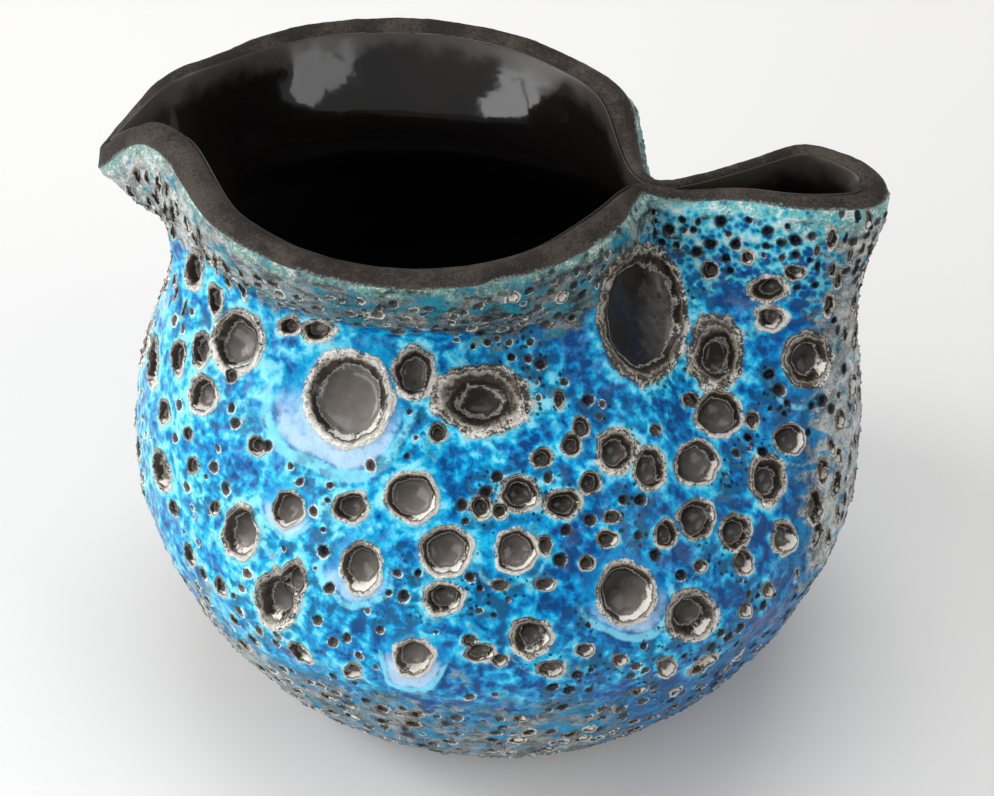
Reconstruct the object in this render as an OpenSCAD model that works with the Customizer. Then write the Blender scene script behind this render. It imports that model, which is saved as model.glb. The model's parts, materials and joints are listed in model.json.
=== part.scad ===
// Milk jug with a pinched handle and a crater glaze.
// Hand-built pottery: one fired clay wall with three coats on it.
// Millimetres. +Z is up and +X runs from the pouring lip to the handle.
// The origin is the middle of the foot ring, on the table.

/* [Belly] */

// Radius of the belly over its slip
belly_r = 58; // [50:0.5:64]
// Height of the widest part of the belly
belly_z = 42; // [36:0.5:50]
// How far the wall stays upright above the belly
belly_pull = 21; // [14:0.5:26]
// Fullness of the bowl under the belly, 1 is an ellipse
bowl_curve = 1.3; // [1:0.05:1.6]
// Thickness of the clay wall
wall = 4; // [3:0.1:5]

/* [Foot] */

// Radius of the foot ring
foot_r = 28; // [22:0.5:34]
// Height of the foot ring under the bowl
foot_h = 2.5; // [1.5:0.1:5]
// Width of the foot ring
foot_w = 5; // [3:0.5:8]

/* [Mouth] */

// Height of the rim at the sides of the mouth
rim_z = 95; // [85:0.5:110]
// Radius of the mouth over its rim
mouth_r = 37.5; // [32:0.5:42]
// Distance from the middle of the foot to the middle of the mouth
mouth_back = 15; // [10:0.5:20]
// Length of the neck under the rim
neck = 22; // [14:0.5:28]
// How far the neck draws in under the rim
neck_in = 9; // [4:0.5:12]
// Thickness of the clay at the rim of the mouth
rim_wall = 4.2; // [3:0.1:5]
// Height of the rounded crown of the rim
rim_crown = 0.9; // [0.4:0.1:1.6]

/* [Pouring lip] */

// Distance from the middle of the foot to the tip of the lip
lip_tip = 64; // [58:0.5:70]
// How far the tip is drawn out from the neck under it
lip_reach = 20; // [14:0.5:24]
// How far the tip hangs under the rim
lip_droop = 7.5; // [0:0.5:10]
// How far the rim rises beside the lip
lip_rise = 3.5; // [0:0.5:6]

/* [Pinched handle] */

// Distance from the middle of the foot to the end of the handle
handle_end = 58.5; // [54:0.5:68]
// Half of the width of the handle's loop
handle_half = 8.8; // [7:0.1:12]
// Half of the width where the two walls are pinched together
pinch_half = 2.7; // [2.5:0.1:4]
// How far the rim dips at the pinch
pinch_dip = 4.8; // [1:0.2:8]
// Thickness of the clay at the pinch
pinch_wall = 1.7; // [1.4:0.1:1.8]
// How far the back of the handle curves in under its rim
handle_tuck = 9; // [2:0.5:14]

/* [Coats] */

// Thickness of the dark slip on the outside and the rim
slip_t = 0.4; // [0.3:0.05:0.6]
// Thickness of the crater glaze
glaze_t = 1.8; // [1.2:0.1:2.6]
// Thickness of the crater glaze at its edge under the rim
glaze_edge = 0.6; // [0.4:0.1:1]
// Thickness of the glossy liner inside
liner_t = 0.4; // [0.3:0.05:0.5]
// Diameter of the largest craters
crater_d = 16; // [10:0.5:18]

/* [Hidden] */

// steps round the wall in each span between two knots, and rows under and over the belly
SPAN_STEPS = 2;
LOW_ROWS = 6;
UP_ROWS = 8;
// row where the coats end above the foot
COAT_ROW = 1;
// the lip's pull starts at this part of the way from the belly to the rim, and grows by this power
LIP_START = 0.6;
LIP_CURVE = 1.6;
// middle and half width of the drawn-in waist of the neck, as parts of the way from the belly to the rim
WAIST_AT = 0.77;
WAIST_WIDTH = 0.16;
// rows over the belly crowd towards the rim by this power
ROW_POWER = 0.85;
// pull of the lip from which its rim keeps the slope of the wall
LIP_LEVEL = 5;
// knots round each side of the mouth
MOUTH_KNOTS = 6;
// small step along the wall for its direction
STEP = 0.01;

mouth_end = mouth_r - mouth_back;
handle_mid = mouth_end + 0.64*(handle_end - mouth_end);
pinch_x = mouth_end + 0.1*(handle_end - mouth_end);

// A knot is [belly angle, x, y, z of the rim, tuck, neck, pull in x, pull in z, clay at the rim, waist].
function mouth_knot(belly_a, a, rise, waist) =
    [belly_a, mouth_r*cos(a) - mouth_back, mouth_r*sin(a), rim_z + rise, 0.65*waist, 1.1*neck, 0, 0, rim_wall,
        waist];
function lip_knot(belly_a, x, y, rise, pull, droop) =
    [belly_a, pull - x, y, rim_z + rise, 0, neck, -pull, -droop, rim_wall, 0];
half_ring = concat(
    [
        [0, handle_end, 0, rim_z - 2, handle_tuck, neck, 0, 0, rim_wall, 0],
        [9, handle_end - 0.35*handle_half, 0.67*handle_half, rim_z - 1.2, 0.75*handle_tuck, neck, 0, 0,
            0.8*rim_wall, 0],
        [18, handle_mid, handle_half, rim_z - 0.4, 0.25*handle_tuck, neck, 0, 0, 0.65*rim_wall, 0],
        [28, (handle_mid + pinch_x)/2, 0.55*handle_half + 0.1*pinch_half, rim_z - 0.45*pinch_dip, 0, neck,
            0, 0, (0.6*rim_wall + pinch_wall)/2, 0],
        [38, pinch_x, pinch_half, rim_z - pinch_dip, 0, neck, 0, 0, pinch_wall, 0],
        [48, mouth_end - 1.2, 1.2*pinch_half, rim_z - 0.75*pinch_dip, 0, neck, 0, 0, 1.1*pinch_wall, 0]
    ],
    [for (i = [0:MOUTH_KNOTS - 1]) let (part = i/MOUTH_KNOTS)
        mouth_knot(58 + 98*part, 28 + 128*part, lip_rise*pow(part, 3), neck_in*sin(15 + 150*part))],
    [
        lip_knot(157, mouth_back + 0.92*mouth_r, 0.39*mouth_r, lip_rise, 0.25*lip_reach, 0),
        lip_knot(169, mouth_back + 1.08*mouth_r, 0.24*mouth_r, 0.75*lip_rise, 0.5*lip_reach, 0),
        lip_knot(176, lip_tip - 1.6, 0.105*mouth_r, 0.2*lip_rise, 0.9*lip_reach, 0.8*lip_droop),
        lip_knot(180, lip_tip, 0, 0, lip_reach, lip_droop)
    ]);
function mirrored(k) = [360 - k[0], k[1], -k[2], k[3], k[4], k[5], k[6], k[7], k[8], k[9]];
ring = concat(half_ring, [for (i = [len(half_ring) - 2:-1:1]) mirrored(half_ring[i])]);
KNOTS = len(ring);

// The closed curve through the knots, at part u of the way from knot i to the next.
function knot(i) =
    let (turn = floor(i/KNOTS), k = ring[i - turn*KNOTS])
    [k[0] + 360*turn, k[1], k[2], k[3], k[4], k[5], k[6], k[7], k[8], k[9]];
function between(i, u) =
    let (
        p0 = knot(i - 1), p1 = knot(i), p2 = knot(i + 1), p3 = knot(i + 2),
        span = p2[0] - p1[0],
        m1 = (p2 - p0)*span/(p2[0] - p0[0]),
        m2 = (p3 - p1)*span/(p3[0] - p1[0])
    )
    p1*(2*pow(u, 3) - 3*pow(u, 2) + 1) + m1*(pow(u, 3) - 2*pow(u, 2) + u)
        + p2*(3*pow(u, 2) - 2*pow(u, 3)) + m2*(pow(u, 3) - pow(u, 2));
function span_of(a, i = 0) = knot(i + 1)[0] > a ? i : span_of(a, i + 1);
function station(a) =
    let (t = a - 360*floor(a/360), i = span_of(t))
    between(i, (t - knot(i)[0])/(knot(i + 1)[0] - knot(i)[0]));

// The outer face of the slip: v is -1 at the foot, 0 at the belly and 1 at the rim.
function bowl_point(s, t) =
    let (r = foot_r + (belly_r - foot_r)*sin(t))
    [r*cos(s[0]), r*sin(s[0]), foot_h + (belly_z - foot_h)*(1 - pow(cos(t), bowl_curve))];
function waist_part(u) = exp(-pow((u - WAIST_AT)/WAIST_WIDTH, 2))*(1 - pow(u, 12));
function wall_point(s, u) =
    let (
        out = [cos(s[0]), sin(s[0]), 0],
        b0 = out*belly_r + [0, 0, belly_z],
        b1 = b0 + [0, 0, belly_pull],
        b3 = [s[1], s[2], s[3]],
        b2 = b3 - out*s[4] - [0, 0, s[5]],
        pull = pow(max(0, (u - LIP_START)/(1 - LIP_START)), LIP_CURVE)
    )
    b0*pow(1 - u, 3) + b1*3*u*pow(1 - u, 2) + b2*3*pow(u, 2)*(1 - u) + b3*pow(u, 3)
        + [s[6], 0, s[7]]*pull - out*s[9]*waist_part(u);
function skin(s, v) = v < 0 ? bowl_point(s, 90*(1 + v)) : wall_point(s, v);
function along(s, v) = skin(s, min(1, v + STEP)) - skin(s, max(-1, v - STEP));
function unit(p) = p/norm(p);
function clay_t(s, v) = v < 0 ? wall : wall + (s[8] - wall)*pow(v, 2);
function glaze_depth(v) =
    v > 0.8 ? glaze_edge + (glaze_t - glaze_edge)*sqrt(max(0, 1 - pow((v - 0.8)/0.2, 2))) : glaze_t;

rows = concat(
    [for (i = [0:LOW_ROWS - 1]) i/LOW_ROWS - 1],
    [for (i = [0:UP_ROWS]) pow(i/UP_ROWS, ROW_POWER)]);
ROWS = len(rows);
stations = [for (i = [0:KNOTS - 1], j = [0:SPAN_STEPS - 1]) between(i, j/SPAN_STEPS)];
AROUND = len(stations);

// Points and outward directions of the slip's face on each row. The rim is cut level, except on the lip.
face = [for (v = rows) [for (s = stations) skin(s, v)]];
function slope_kept(s, v) = v < 1 ? 1 : min(1, abs(s[6])/LIP_LEVEL);
outward = [for (r = [0:ROWS - 1]) [for (j = [0:AROUND - 1])
    let (
        sideways = face[r][(j + 1) % AROUND] - face[r][(j + AROUND - 1) % AROUND],
        n = cross(sideways, along(stations[j], rows[r]))
    )
    unit([n[0], n[1], n[2]*slope_kept(stations[j], rows[r])])]];
function layer(r, depth) = [for (j = [0:AROUND - 1]) face[r][j] - outward[r][j]*depth];
function clay_out(r) = layer(r, slip_t);
function clay_in(r) = [for (j = [0:AROUND - 1])
    face[r][j] - outward[r][j]*(slip_t + clay_t(stations[j], rows[r]))];
function liner_in(r) = [for (j = [0:AROUND - 1])
    face[r][j] - outward[r][j]*(slip_t + clay_t(stations[j], rows[r]) + liner_t)];
function over_rim(s) = unit(unit(along(s, 1)) + [0, 0, 1]);
function crown(over) =
    let (a = clay_out(ROWS - 1), b = clay_in(ROWS - 1))
    [for (j = [0:AROUND - 1]) (a[j] + b[j])/2 + over_rim(stations[j])*(rim_crown + over)];
function raised(pts, over) = [for (j = [0:AROUND - 1]) pts[j] + over_rim(stations[j])*over];

// Skins through rings of points, out along one face and back along the other.
// Quads are split along the same diagonal both ways, so two coats meet face to face.
function strip(k, m, back) = [for (j = [0:AROUND - 1])
    let (n = (j + 1) % AROUND, a = k*AROUND, b = m*AROUND)
    each back
        ? [[a + j, b + j, a + n], [b + j, b + n, a + n]]
        : [[a + j, b + j, b + n], [a + j, b + n, a + n]]];
function strips(out, back) =
    [for (k = [0:len(out) + len(back) - 2]) each strip(k, k + 1, k >= len(out))];
module closed_skin(out, back) {
    polyhedron(points = [for (r = concat(out, back)) each r],
        faces = concat(strips(out, back), strip(len(out) + len(back) - 1, 0, false)));
}
function middle(pts) = [0, 0, pts[0][2]];
module capped_skin(out, back) {
    last = len(out) + len(back) - 1;
    count = (last + 1)*AROUND;
    polyhedron(
        points = concat([for (r = concat(out, back)) each r], [middle(out[0]), middle(back[len(back) - 1])]),
        faces = concat(
            strips(out, back),
            [for (j = [0:AROUND - 1]) [count, j, (j + 1) % AROUND]],
            [for (j = [0:AROUND - 1]) [count + 1, last*AROUND + (j + 1) % AROUND, last*AROUND + j]]));
}

// Craters on the front: [angle round the belly, v, size as a part of the largest].
// The back has the same ones, turned a little.
BACK_TURN = 7;
front_craters = [
    [306, 0.73, 1], [247, 0.62, 0.88], [272, 0.64, 0.78], [223, 0.65, 0.58], [258, 0.68, 0.47],
    [261, 0.44, 0.5], [267, 0.32, 0.5], [267, 0.21, 0.36], [278, 0.32, 0.42], [255, 0.25, 0.46],
    [242, 0.34, 0.35], [252, 0.39, 0.34], [234, 0.21, 0.45], [242, 0.08, 0.5], [263, 0.04, 0.39],
    [294, 0.19, 0.59], [304, 0.08, 0.51], [278, 0.45, 0.37], [285, 0.42, 0.33], [296, 0.5, 0.42],
    [301, 0.44, 0.38], [310, 0.39, 0.45], [307, 0.29, 0.39], [318, 0.46, 0.48], [324, 0.6, 0.65],
    [340, 0.55, 0.56], [330, 0.35, 0.33], [324, 0.29, 0.47], [314, 0.22, 0.35], [337, 0.77, 0.37],
    [336, 0.68, 0.32], [280, 0.12, 0.42], [221, 0.5, 0.36], [213, 0.17, 0.4], [201, 0.37, 0.5],
    [324, 0.14, 0.33], [237, 0.75, 0.32], [208, 0.75, 0.35], [211, 0.51, 0.32], [216, 0.59, 0.32],
    [192, 0.6, 0.45], [190, 0.3, 0.5], [198, 0.12, 0.4], [188, 0.02, 0.35], [352, 0.38, 0.4],
    [346, 0.2, 0.4], [356, 0.62, 0.3], [350, 0.02, 0.35]
];

module clay_body() {
    color("#8a6a50")
    union() {
        capped_skin(
            concat([for (r = [0:ROWS - 1]) clay_out(r)], [crown(0)]),
            [for (r = [ROWS - 1:-1:0]) clay_in(r)]);
        foot_ring();
    }
}

module foot_ring() {
    edge = 0.6;
    rotate_extrude($fn = 96)
        polygon([
            [foot_r - foot_w, foot_h + wall/2], [foot_r - foot_w, edge], [foot_r - foot_w + edge, 0],
            [foot_r - edge, 0], [foot_r, edge], [foot_r, foot_h + slip_t + wall/2]]);
}

module base_slip() {
    color("#2b2320")
    closed_skin(
        concat(
            [for (r = [COAT_ROW:ROWS - 1]) layer(r, 0)],
            [crown(slip_t), raised(clay_in(ROWS - 1), slip_t)]),
        concat(
            [clay_in(ROWS - 1), crown(0)],
            [for (r = [ROWS - 1:-1:COAT_ROW]) clay_out(r)]));
}

module lava_glaze() {
    color("#1673c4")
    difference() {
        closed_skin(
            [for (r = [COAT_ROW:ROWS - 1]) layer(r, -glaze_depth(rows[r]))],
            [for (r = [ROWS - 1:-1:COAT_ROW]) layer(r, 0)]);
        for (c = front_craters, a = [c[0], 360 + BACK_TURN - c[0]]) crater(a, c[1], c[2]*crater_d);
    }
}

module crater(a, v, d) {
    s = station(a);
    toward = unit(cross(skin(station(a + 1), v) - skin(station(a - 1), v), along(s, v)));
    translate(skin(s, v) + toward*glaze_depth(v))
        rotate([0, acos(toward[2]), atan2(toward[1], toward[0])])
            sphere(d = d, $fn = 48);
}

module liner_glaze() {
    color("#0d0d10")
    capped_skin(
        [for (r = [0:ROWS - 1]) clay_in(r)],
        [for (r = [ROWS - 1:-1:0]) liner_in(r)]);
}

clay_body();
base_slip();
lava_glaze();
liner_glaze();
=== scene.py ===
# %% [markdown]
# This lesson dresses a small pottery milk jug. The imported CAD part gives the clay, the dark slip on it,
# the thick crater glaze outside and the glossy liner inside. The script smooths those faces, opens the
# craters in the glaze, paints every coat with nodes, and sets up a plain studio.

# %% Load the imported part
import json
import math
import random

import bpy
import numpy as np
from mathutils import Matrix, Vector, kdtree, noise
from mathutils.bvhtree import BVHTree

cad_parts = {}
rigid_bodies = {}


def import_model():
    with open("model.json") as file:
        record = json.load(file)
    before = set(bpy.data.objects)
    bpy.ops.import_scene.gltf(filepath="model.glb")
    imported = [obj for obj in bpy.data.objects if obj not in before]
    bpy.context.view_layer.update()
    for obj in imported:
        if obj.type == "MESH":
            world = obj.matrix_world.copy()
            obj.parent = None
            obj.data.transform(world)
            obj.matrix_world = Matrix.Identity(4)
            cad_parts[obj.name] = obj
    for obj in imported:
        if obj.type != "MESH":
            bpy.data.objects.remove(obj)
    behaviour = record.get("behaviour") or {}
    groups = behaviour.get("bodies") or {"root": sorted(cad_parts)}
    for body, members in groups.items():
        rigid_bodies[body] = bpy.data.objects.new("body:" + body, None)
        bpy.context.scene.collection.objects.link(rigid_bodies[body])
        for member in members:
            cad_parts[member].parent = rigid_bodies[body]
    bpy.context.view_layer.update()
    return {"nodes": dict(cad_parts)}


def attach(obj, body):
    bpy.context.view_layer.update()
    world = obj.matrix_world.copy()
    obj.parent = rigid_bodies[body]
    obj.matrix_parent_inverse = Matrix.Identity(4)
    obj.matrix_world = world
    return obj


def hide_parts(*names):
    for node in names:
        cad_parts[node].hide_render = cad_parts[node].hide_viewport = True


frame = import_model()
MM = 0.001
print("nodes:", sorted(frame["nodes"]))

# %% [markdown]
# The camera comes first, because the places of the craters were read off the photograph in pixels of its
# 994 by 796 frame. It looks down on the jug by 39 degrees, a little from the handle's end, and the picture
# is turned by 2 degrees, as a camera held by hand is.

# %% Camera
FRAME_W, FRAME_H = 994, 796
LOOK_DOWN = math.radians(39)
LOOK_ROUND = math.radians(4)
PICTURE_ROLL = math.radians(2)
DISTANCE = 400 * MM
FOCAL_PX = 2409
SENSOR = 36
LOOK_AT = Vector((-0.23, 0, 46.66)) * MM

back = Vector((
    math.sin(LOOK_ROUND) * math.cos(LOOK_DOWN),
    -math.cos(LOOK_ROUND) * math.cos(LOOK_DOWN),
    math.sin(LOOK_DOWN)))
level = Vector((math.cos(LOOK_ROUND), math.sin(LOOK_ROUND), 0))
upward = back.cross(level)
right = level * math.cos(PICTURE_ROLL) + upward * math.sin(PICTURE_ROLL)
upward = back.cross(right)
eye = LOOK_AT + back * DISTANCE

bpy.ops.object.camera_add()
camera = bpy.context.object
camera.name = "photo_camera"
camera.matrix_world = Matrix.Translation(eye) @ Matrix((right, upward, back)).transposed().to_4x4()
camera.data.sensor_width = SENSOR
camera.data.lens = FOCAL_PX * SENSOR / FRAME_W
camera.data.clip_start = 0.01
bpy.context.scene.camera = camera


def ray_through(x, y):
    """Direction from the eye through a pixel of the photograph."""
    across = right * ((x - FRAME_W / 2) / FOCAL_PX)
    over = upward * ((FRAME_H / 2 - y) / FOCAL_PX)
    return (across + over - back).normalized()


print("camera lens:", round(camera.data.lens, 1), "mm")

# %% [markdown]
# The coats start from the CAD faces. A copy of a coat's mesh is merged, and the side that lies against the
# clay is deleted, since it never shows. What is left is an open skin of triangles, which pair up into
# quads, so that a Subdivision Surface can round it.

# %% Helpers for copying a coat
def deselect_all():
    """Leaves object mode with nothing selected."""
    if bpy.context.object and bpy.context.object.mode != "OBJECT":
        bpy.ops.object.mode_set(mode="OBJECT")
    bpy.ops.object.select_all(action="DESELECT")


def activate(piece):
    """Makes one piece the selected and active object."""
    deselect_all()
    piece.select_set(True)
    bpy.context.view_layer.objects.active = piece


def mark(piece, kind, test):
    """Selects the faces or vertices of a piece that pass a test, and leaves it in edit mode."""
    activate(piece)
    bpy.ops.object.mode_set(mode="EDIT")
    bpy.ops.mesh.select_mode(type="FACE" if kind == "polygons" else "VERT")
    bpy.ops.mesh.select_all(action="DESELECT")
    bpy.ops.object.mode_set(mode="OBJECT")
    found = 0
    for item in getattr(piece.data, kind):
        item.select = bool(test(item))
        found += item.select
    bpy.ops.object.mode_set(mode="EDIT")
    return found


def search_tree(points):
    """A search tree of points."""
    tree = kdtree.KDTree(len(points))
    for i, point in enumerate(points):
        tree.insert(point, i)
    tree.balance()
    return tree


def copy_coat(node, name):
    """An own, merged copy of a CAD coat without the side that lies on the clay."""
    piece = bpy.data.objects.new(name, frame["nodes"][node].data.copy())
    piece.data.name = name
    bpy.context.scene.collection.objects.link(piece)
    activate(piece)
    bpy.ops.object.mode_set(mode="EDIT")
    bpy.ops.mesh.customdata_custom_splitnormals_clear()
    bpy.ops.mesh.select_all(action="SELECT")
    bpy.ops.mesh.remove_doubles(threshold=0.002 * MM)
    on_clay = mark(piece, "polygons", lambda f: clay_faces.find(f.center)[2] < 0.02 * MM)
    bpy.ops.mesh.delete(type="FACE")
    bpy.ops.object.mode_set(mode="OBJECT")
    print(name, "left", len(piece.data.polygons), "faces, and lost", on_clay, "on the clay")
    return piece


def open_edges(piece):
    """The edges of a skin that have one face only, as pairs of vertices."""
    used = {}
    for face in piece.data.polygons:
        for key in face.edge_keys:
            used[key] = used.get(key, 0) + 1
    return np.array([key for key, n in used.items() if n == 1])


def grow_from_edge(piece, low, high, rings):
    """Selects the faces within some rings of the open edge whose height is between low and high."""
    edge = set(open_edges(piece).ravel())
    mark(piece, "vertices", lambda v: v.index in edge and low < v.co.z < high)
    for step in range(rings):
        bpy.ops.mesh.select_more()
    bpy.ops.mesh.select_mode(type="FACE")


def read_points(piece):
    """Places and normals of a piece's vertices, as arrays."""
    count = len(piece.data.vertices)
    places = np.empty(count * 3)
    normals = np.empty(count * 3)
    piece.data.vertices.foreach_get("co", places)
    piece.data.vertex_normals.foreach_get("vector", normals)
    return places.reshape(-1, 3), normals.reshape(-1, 3)


def write_points(piece, places):
    """Moves a piece's vertices to new places."""
    piece.data.vertices.foreach_set("co", np.ascontiguousarray(places).ravel())
    piece.data.update()


def swell_for_rounding(piece, rounds=4):
    """Moves the corners of a skin of quads so that the rounded skin passes through their old places."""
    wanted = read_points(piece)[0]
    quads = np.array([tuple(f.vertices) for f in piece.data.polygons if len(f.vertices) == 4])
    count = np.bincount(quads.ravel(), minlength=len(wanted))
    rim_edges = open_edges(piece)
    on_edge = np.zeros(len(wanted), bool)
    on_edge[rim_edges.ravel()] = True
    inside = (count == 4) & ~on_edge
    corners = wanted.copy()
    for step in range(rounds):
        beside = np.zeros_like(corners)
        across = np.zeros_like(corners)
        along = np.zeros_like(corners)
        for i in range(4):
            np.add.at(beside, quads[:, i], corners[quads[:, i - 1]] + corners[quads[:, (i + 1) % 4]])
            np.add.at(across, quads[:, i], corners[quads[:, (i + 2) % 4]])
        np.add.at(along, rim_edges[:, 0], corners[rim_edges[:, 1]])
        np.add.at(along, rim_edges[:, 1], corners[rim_edges[:, 0]])
        rounded = corners.copy()
        rounded[inside] = ((16 * corners + 2 * beside + across) / 36)[inside]
        rounded[on_edge] = ((4 * corners + along) / 6)[on_edge]
        corners = corners + wanted - rounded
    write_points(piece, corners)


def smooth_skin(piece, levels):
    """Pairs triangles into quads and rounds them with an applied Subdivision Surface."""
    activate(piece)
    bpy.ops.object.mode_set(mode="EDIT")
    bpy.ops.mesh.select_all(action="SELECT")
    bpy.ops.mesh.tris_convert_to_quads(face_threshold=math.radians(70), shape_threshold=math.radians(70))
    bpy.ops.object.mode_set(mode="OBJECT")
    odd = sum(len(f.vertices) != 4 for f in piece.data.polygons)
    swell_for_rounding(piece)
    rounding = piece.modifiers.new("round", "SUBSURF")
    rounding.levels = rounding.render_levels = levels
    bpy.ops.object.modifier_apply(modifier=rounding.name)
    bpy.ops.object.shade_smooth()
    print(piece.name, "has", len(piece.data.polygons), "faces after rounding;", odd, "were not quads")


clay_faces = search_tree([f.center for f in frame["nodes"]["clay_body"].data.polygons])
print("helpers ready, and the clay's faces can be searched")

# %% [markdown]
# The slip shows on the rim. Three rings of faces from its inner edge are the crown of the rim, and they
# become a piece of their own. The wall under them is the ground that the glaze flows over.

# %% Rim of slip
MIDDLE_HEIGHT = 50 * MM
TOP_HEIGHT = 200 * MM
glaze = copy_coat("base_slip", "crater_glaze")
grow_from_edge(glaze, MIDDLE_HEIGHT, TOP_HEIGHT, 3)
bpy.ops.mesh.separate(type="SELECTED")
bpy.ops.object.mode_set(mode="OBJECT")
rim = [o for o in bpy.context.selected_objects if o != glaze][0]
rim.name = rim.data.name = "rim_slip"
grow_from_edge(glaze, 0, MIDDLE_HEIGHT, 1)
bpy.ops.mesh.delete(type="FACE")
bpy.ops.object.mode_set(mode="OBJECT")
smooth_skin(rim, 3)
smooth_skin(glaze, 4)

# %% [markdown]
# The liner is the inner face of the pot, from the rim down to the floor.

# %% Liner
FLOOR_HEIGHT = 8 * MM
liner = copy_coat("liner_glaze", "liner")
under = mark(liner, "polygons", lambda f: f.normal.z < -0.5 and f.center.z < FLOOR_HEIGHT)
bpy.ops.mesh.delete(type="FACE")
bpy.ops.object.mode_set(mode="OBJECT")
print("faces under the floor taken away:", under)
smooth_skin(liner, 3)

# %% [markdown]
# Rounding draws a skin in a little where it turns sharply, so the clay could show through. Vertices of the
# rim and the liner that come too close to the clay are lifted off it.

# %% Keep the thin coats over the clay
COAT_GAP = 0.22 * MM


def tree_of(mesh):
    """A tree for rays and nearest points on a mesh."""
    return BVHTree.FromPolygons([v.co for v in mesh.vertices], [tuple(f.vertices) for f in mesh.polygons])


clay_tree = tree_of(frame["nodes"]["clay_body"].data)


def lift_off_clay(piece, gap):
    """Moves the vertices that are nearer to the clay than the gap."""
    moved = 0
    for vertex in piece.data.vertices:
        spot, normal, index, away = clay_tree.find_nearest(vertex.co)
        over = (vertex.co - spot).dot(normal)
        if over < gap:
            vertex.co += normal * (gap - over)
            moved += 1
    piece.data.update()
    print(piece.name, "had", moved, "vertices lifted")


lift_off_clay(rim, COAT_GAP)
lift_off_clay(liner, COAT_GAP)

# %% [markdown]
# The glaze is thick on the wall and thin at both of its edges: it was wiped off the rim and stops above the
# foot in a rolled bead. Its depth follows the distance to those two edges, and every vertex moves out along
# its normal by that depth.

# %% Thickness of the glaze
GLAZE_DEPTH = 1.75 * MM
RIM_FADE = 9 * MM
FOOT_FADE = 3 * MM
EDGE_WIDTH = 1.3 * MM


def ramp(low, high, value):
    """Smooth rise from 0 at low to 1 at high."""
    part = np.clip((value - low) / (high - low), 0, 1)
    return part * part * (3 - 2 * part)


def lumps(points, size, seed):
    """Smooth noise between -1 and 1 with lumps of a given size."""
    shift = Vector((seed, seed * 2, seed * 3))
    return np.array([noise.noise(Vector(p) / size + shift) for p in points])


def distance_to(points, targets):
    """Distance of each point to the nearest target point."""
    tree = search_tree(targets)
    return np.array([tree.find(p)[2] for p in points])


places, normals = read_points(glaze)
edge = np.unique(open_edges(glaze))
rim_line = [places[i] for i in edge if places[i][2] > MIDDLE_HEIGHT]
foot_line = [places[i] for i in edge if places[i][2] < MIDDLE_HEIGHT]
from_rim = distance_to(places, rim_line)
from_foot = distance_to(places, foot_line)
depth = GLAZE_DEPTH * np.sqrt(ramp(-0.2 * RIM_FADE, RIM_FADE, from_rim)) * ramp(0, EDGE_WIDTH, from_rim)
depth *= np.sqrt(ramp(0, FOOT_FADE, from_foot))
places = places + normals * depth[:, None]
write_points(glaze, places)
print("glaze depth up to", round(depth.max() / MM, 2), "mm on", len(places), "vertices")

# %% [markdown]
# A crater is a gas bubble that broke at the surface. Those on the side that the photograph shows are listed
# by pixel: centre, width and height. The large ones also have the strength of the pale ring round them, the
# part of their radius that is lip, and how light their floor is. A ray from the camera finds each one's
# place on the glaze, and the slant of the wall gives its real width and height.

# %% Craters seen in the photograph
LARGE_CRATERS = [
    (643, 314, 92, 140, 0.0, 0.2, 0.0), (349, 399, 92, 99, 1.0, 0.22, 1.0),
    (481, 400, 98, 73, 0.1, 0.4, 0.1), (238, 342, 53, 70, 0.0, 0.3, 0.7),
    (414, 373, 46, 55, 0.1, 0.3, 0.5), (412, 497, 57, 53, 0.3, 0.2, 0.9),
    (446, 551, 55, 55, 0.4, 0.24, 0.7), (444, 598, 43, 34, 0.2, 0.3, 0.5),
    (516, 551, 46, 47, 0.6, 0.22, 0.9), (362, 567, 44, 57, 0.9, 0.26, 0.7),
    (289, 509, 34, 40, 1.0, 0.2, 0.9), (351, 507, 40, 33, 0.4, 0.28, 0.6),
    (242, 532, 38, 56, 0.3, 0.25, 0.5), (278, 599, 46, 62, 0.1, 0.35, 0.3),
    (294, 581, 30, 42, 0.0, 0.35, 0.4), (414, 657, 44, 40, 1.0, 0.28, 0.7),
    (626, 593, 62, 66, 0.9, 0.2, 0.4), (691, 615, 56, 53, 0.2, 0.34, 0.2),
    (520, 494, 44, 38, 0.2, 0.3, 0.3), (563, 504, 40, 32, 0.2, 0.3, 0.3),
    (616, 451, 44, 47, 0.1, 0.34, 0.4), (649, 469, 35, 46, 0.2, 0.28, 0.5),
    (696, 463, 48, 47, 0.4, 0.2, 0.6), (696, 519, 40, 43, 0.4, 0.24, 0.3),
    (718, 414, 50, 50, 0.2, 0.22, 0.6), (716, 354, 58, 78, 0.2, 0.44, 0.1),
    (807, 360, 50, 62, 0.5, 0.34, 0.1), (789, 439, 33, 35, 0.6, 0.22, 0.4),
    (767, 479, 39, 56, 0.3, 0.36, 0.4), (735, 532, 34, 40, 0.3, 0.28, 0.3),
    (768, 289, 44, 28, 0.2, 0.4, 0.3), (771, 318, 36, 28, 0.2, 0.45, 0.8),
    (531, 637, 46, 42, 0.4, 0.36, 0.3), (204, 395, 29, 43, 0.2, 0.3, 0.7),
    (163, 471, 22, 46, 0.2, 0.3, 0.5), (154, 362, 15, 58, 0.0, 0.3, 0.3),
    (301, 653, 27, 26, 0.4, 0.3, 0.6), (784, 538, 26, 38, 0.3, 0.3, 0.4),
    (318, 330, 40, 26, 0.0, 0.45, 0.6), (290, 326, 26, 22, 0.0, 0.45, 0.5),
    (195, 270, 20, 44, 0.0, 0.4, 0.5), (216, 300, 16, 36, 0.0, 0.4, 0.5),
]
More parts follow.
